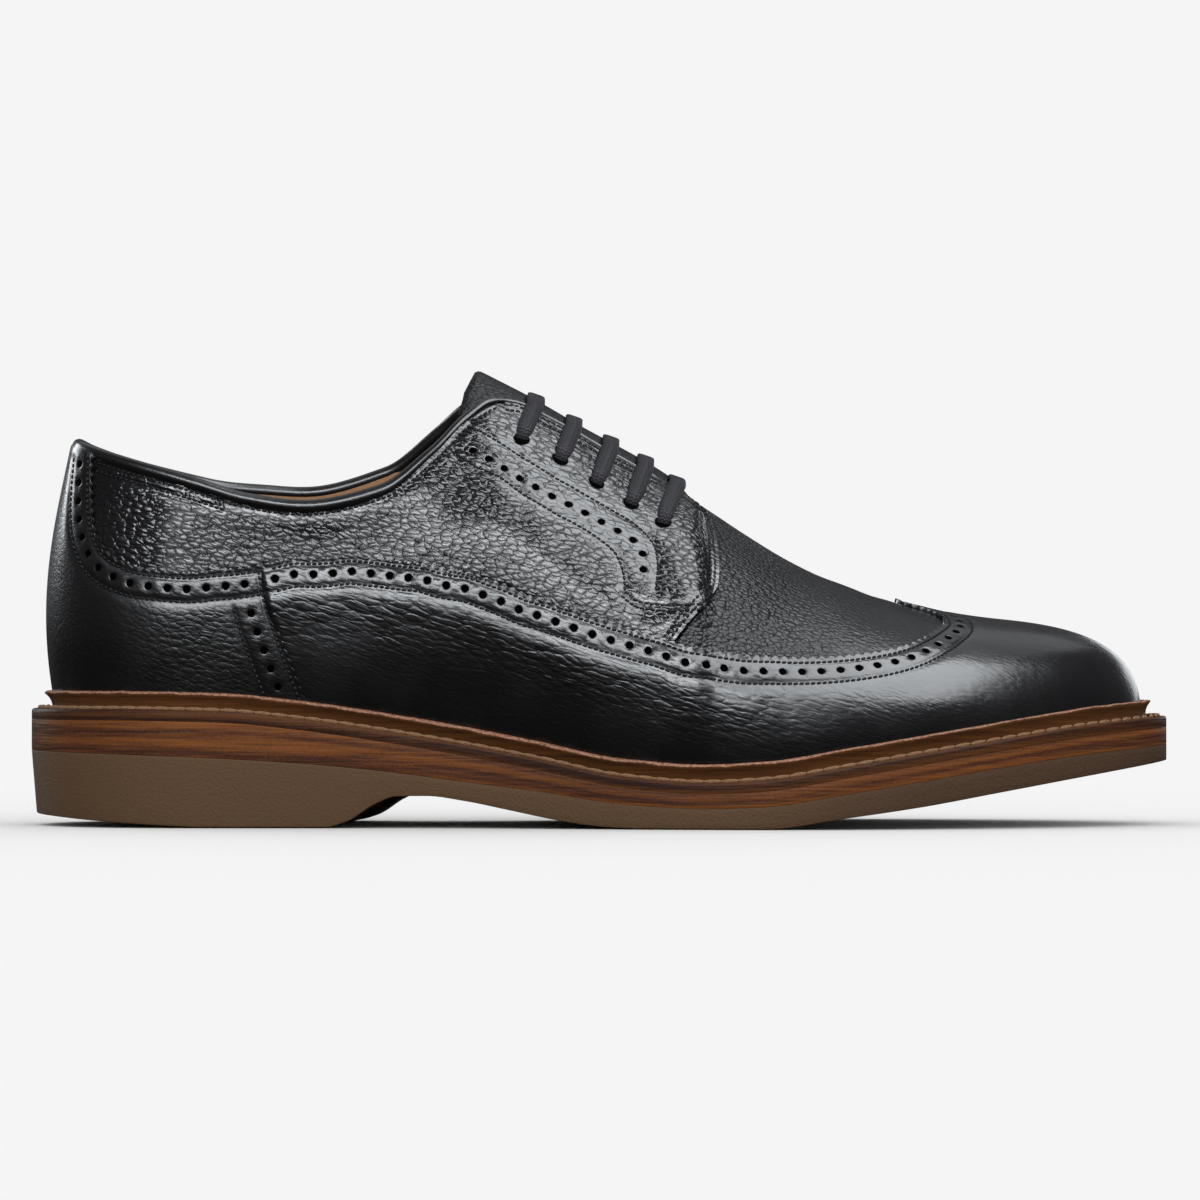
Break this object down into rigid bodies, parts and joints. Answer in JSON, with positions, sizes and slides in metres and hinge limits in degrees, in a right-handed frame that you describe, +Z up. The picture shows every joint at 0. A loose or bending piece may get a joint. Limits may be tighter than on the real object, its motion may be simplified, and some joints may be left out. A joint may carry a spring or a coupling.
{
  "type": "wingtip derby shoe",
  "caption": "Right long-wing derby shoe: a hollow, open-laced leather upper with wing cap, flaps and heel counter on a storm welt, midsole and heeled rubber sole.",
  "frame": {"origin": "centre of the footprint's box, on the floor", "axes": "+X from heel to toe, +Y towards the inner (medial) side, +Z up"},
  "size_m": [0.308, 0.1076, 0.1242],
  "materials": {
    "black_leather": "pebbled, semi-gloss",
    "tan_lining": "smooth, matte",
    "brown_welt": "waxed edge",
    "brown_midsole": "burnished edge",
    "taupe_rubber": "matte",
    "black_cotton": "waxed flat weave"
  },
  "bodies": {
    "root": {"outsole": "taupe_rubber", "midsole": "brown_midsole", "welt": "brown_welt", "insole": "tan_lining", "upper": "black_leather", "tongue": "black_leather", "wing": "black_leather", "counter": "black_leather", "quarter_lateral": "black_leather", "quarter_medial": "black_leather", "lace_bar_1": "black_cotton", "lace_bar_2": "black_cotton", "lace_bar_3": "black_cotton", "lace_bar_4": "black_cotton", "lace_bar_5": "black_cotton"}
  },
  "joints": []
}
